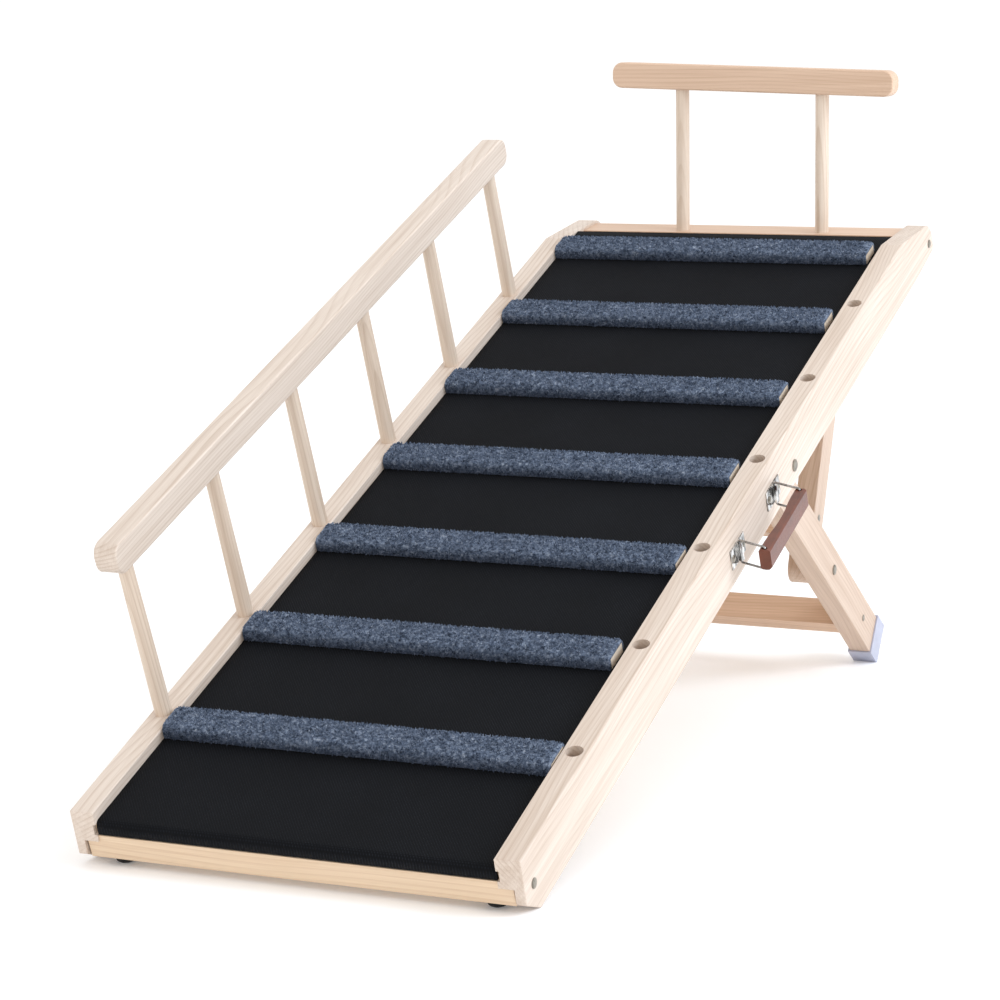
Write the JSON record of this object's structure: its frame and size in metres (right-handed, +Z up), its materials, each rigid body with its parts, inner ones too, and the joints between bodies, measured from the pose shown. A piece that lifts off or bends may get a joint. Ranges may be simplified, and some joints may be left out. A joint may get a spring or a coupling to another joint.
{
  "type": "folding dog ramp",
  "caption": "Folding wooden dog ramp with a carpeted anti-slip deck, side and rear handrails, a swing-out leg frame with a notched brace and a carrying handle.",
  "frame": {"origin": "centre of the ramp's footprint, on the floor", "axes": "+Z up, +Y up the slope towards the high end, +X to the right of someone walking up the ramp"},
  "size_m": [0.4382, 1.1018, 0.6288],
  "materials": {
    "pine": "satin clear-coated pine, fine straight grain",
    "plywood": "uncoated birch plywood",
    "deck_mat": "black ribbed anti-slip sheet, matt",
    "carpet": "blue-grey needle-felt carpet",
    "zinc_steel": "zinc-plated, satin",
    "brown_plastic": "dark brown, semi-gloss",
    "foot_plastic": "pale translucent lavender-grey",
    "black_rubber": "matt"
  },
  "bodies": {
    "ramp": {"left_side_rail": "pine", "right_side_rail": "pine", "deck_panel": "plywood", "deck_mat": "deck_mat", "tread_batten_1": "pine", "tread_batten_2": "pine", "tread_batten_3": "pine", "tread_batten_4": "pine", "tread_batten_5": "pine", "tread_batten_6": "pine", "tread_batten_7": "pine", "tread_carpet_1": "carpet", "tread_carpet_2": "carpet", "tread_carpet_3": "carpet", "tread_carpet_4": "carpet", "tread_carpet_5": "carpet", "tread_carpet_6": "carpet", "tread_carpet_7": "carpet", "front_crossbar": "pine", "rear_crossbar": "pine", "left_handrail": "pine", "left_post_1": "pine", "left_post_2": "pine", "left_post_3": "pine", "left_post_4": "pine", "left_post_5": "pine", "left_post_6": "pine", "rear_post_left": "pine", "rear_post_right": "pine", "rear_handrail": "pine", "left_rack": "plywood", "right_rack": "plywood", "front_rubber_pads": "black_rubber", "crossbar_screws": "zinc_steel", "rail_pivot_bolts": "zinc_steel", "handle_bracket_front": "zinc_steel", "handle_bracket_rear": "zinc_steel", "handle_bracket_screws": "zinc_steel"},
    "leg_frame": {"left_leg": "pine", "right_leg": "pine", "leg_crossbar": "pine", "left_foot_cap": "foot_plastic", "right_foot_cap": "foot_plastic", "leg_crossbar_screws": "zinc_steel", "brace_pivot_bolts": "zinc_steel"},
    "brace_frame": {"left_brace_bar": "pine", "right_brace_bar": "pine", "brace_crossbar": "pine", "brace_crossbar_screws": "zinc_steel", "brace_top_rod": "pine"},
    "ring_front": {"handle_ring_front": "zinc_steel"},
    "ring_rear": {"handle_ring_rear": "zinc_steel"},
    "grip": {"handle_grip": "brown_plastic"}
  },
  "joints": [
    {"name": "leg_swing", "type": "hinge", "parent": "ramp", "child": "leg_frame", "pos_m": [-0.01694, 0.09182, 0.25976], "axis": [1, 0, 0], "range_deg": [-70, 0]},
    {"name": "brace_swing", "type": "hinge", "parent": "leg_frame", "child": "brace_frame", "pos_m": [-0.01694, 0.28855, 0.12404], "axis": [1, 0, 0], "range_deg": [-80, 0]},
    {"name": "handle_front_swing", "type": "hinge", "parent": "ramp", "child": "ring_front", "pos_m": [0.18606, -0.06656, 0.2047], "axis": [0, -0.3714, 0.9285], "range_deg": [-47, 83]},
    {"name": "handle_rear_swing", "type": "hinge", "parent": "ramp", "child": "ring_rear", "pos_m": [0.18606, 0.02908, 0.24295], "axis": [0, -0.3714, 0.9285], "range_deg": [-47, 83]},
    {"name": "grip_turn", "type": "hinge", "parent": "ring_front", "child": "grip", "pos_m": [0.21364, -0.07488, 0.20137], "axis": [0, -0.3714, 0.9285], "range_deg": [-83, 47]}
  ],
  "couplings": [
    {"joint": "handle_rear_swing", "follows": "handle_front_swing", "ratio": 1},
    {"joint": "grip_turn", "follows": "handle_front_swing", "ratio": -1}
  ]
}
